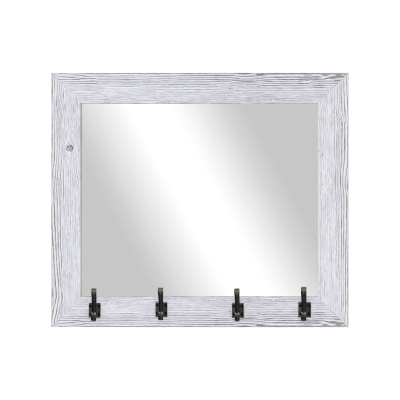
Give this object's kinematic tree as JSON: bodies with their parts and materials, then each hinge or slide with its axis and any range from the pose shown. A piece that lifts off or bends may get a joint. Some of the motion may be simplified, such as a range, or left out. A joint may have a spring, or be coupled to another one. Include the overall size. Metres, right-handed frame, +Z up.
{
  "type": "wall mirror with coat hooks",
  "caption": "Rectangular wall mirror in a wide, mitred, whitewashed wood frame with a row of double coat hooks on its bottom rail and swinging D-ring hangers on its back.",
  "frame": {"origin": "on the wall's plane, midway between the two wall screws that the D-rings hang on, 150 mm below the frame's top edge", "axes": "+X to the right seen from the front, the mirror faces -Y, the wall is the plane Y = 0, +Z up"},
  "size_m": [0.75, 0.0699, 0.642],
  "materials": {
    "whitewashed_pine": "wire-brushed pine with a worn white wash, grey in the grooves of the grain",
    "mirror": "silvered float glass",
    "hardboard": "brown hardboard, smooth side out",
    "dark_bronze": "cast, oil-rubbed dark bronze, rubbed brighter at tips and edges",
    "black_screw": "black oxide",
    "zinc_plate": "bright zinc plating",
    "bright_steel": "plain steel",
    "bumper_rubber": "milky, slightly see-through polyurethane"
  },
  "bodies": {
    "frame": {"top_rail": "whitewashed_pine", "bottom_rail": "whitewashed_pine", "left_stile": "whitewashed_pine", "right_stile": "whitewashed_pine", "corner_v_nails": "bright_steel", "mirror_glass": "mirror", "backing_board": "hardboard", "glazing_points_top": "bright_steel", "glazing_points_bottom": "bright_steel", "glazing_points_left": "bright_steel", "glazing_points_right": "bright_steel", "coat_hook_1": "dark_bronze", "coat_hook_2": "dark_bronze", "coat_hook_3": "dark_bronze", "coat_hook_4": "dark_bronze", "hook_screws_1": "black_screw", "hook_screws_2": "black_screw", "hook_screws_3": "black_screw", "hook_screws_4": "black_screw", "hanger_strap_left": "zinc_plate", "hanger_strap_right": "zinc_plate", "hanger_screws_left": "zinc_plate", "hanger_screws_right": "zinc_plate", "wall_bumper_left": "bumper_rubber", "wall_bumper_right": "bumper_rubber"},
    "left_ring": {"d_ring_left": "zinc_plate"},
    "right_ring": {"d_ring_right": "zinc_plate"}
  },
  "joints": [
    {"name": "left_ring_swing", "type": "hinge", "parent": "frame", "child": "left_ring", "pos_m": [-0.34, -0.00285, -0.01455], "axis": [1, 0, 0], "range_deg": [0, 179]},
    {"name": "right_ring_swing", "type": "hinge", "parent": "frame", "child": "right_ring", "pos_m": [0.34, -0.00285, -0.01455], "axis": [1, 0, 0], "range_deg": [0, 179]}
  ]
}
